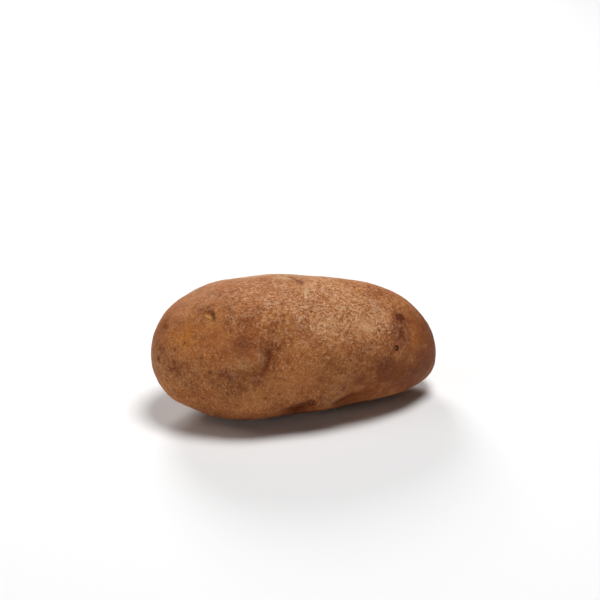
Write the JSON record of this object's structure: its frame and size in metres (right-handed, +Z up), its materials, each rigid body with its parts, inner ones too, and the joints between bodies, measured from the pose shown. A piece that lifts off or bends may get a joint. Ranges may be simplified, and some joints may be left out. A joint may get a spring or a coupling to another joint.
{
  "type": "potato",
  "caption": "Long, blunt-ended russet potato lying on its side, with shallow eyes, low lumps and a small flat spot to rest on.",
  "frame": {"origin": "on the resting surface, under the middle of the potato's bounding box", "axes": "+X along the length, from the bud end to the stem end; +Y across it; +Z up from the surface it lies on"},
  "size_m": [0.1278, 0.0694, 0.0589],
  "materials": {
    "potato_skin": "matte, finely netted corky skin, warm russet brown with ochre and dark patches and darker eyes"
  },
  "bodies": {
    "root": {"potato": "potato_skin"}
  },
  "joints": []
}
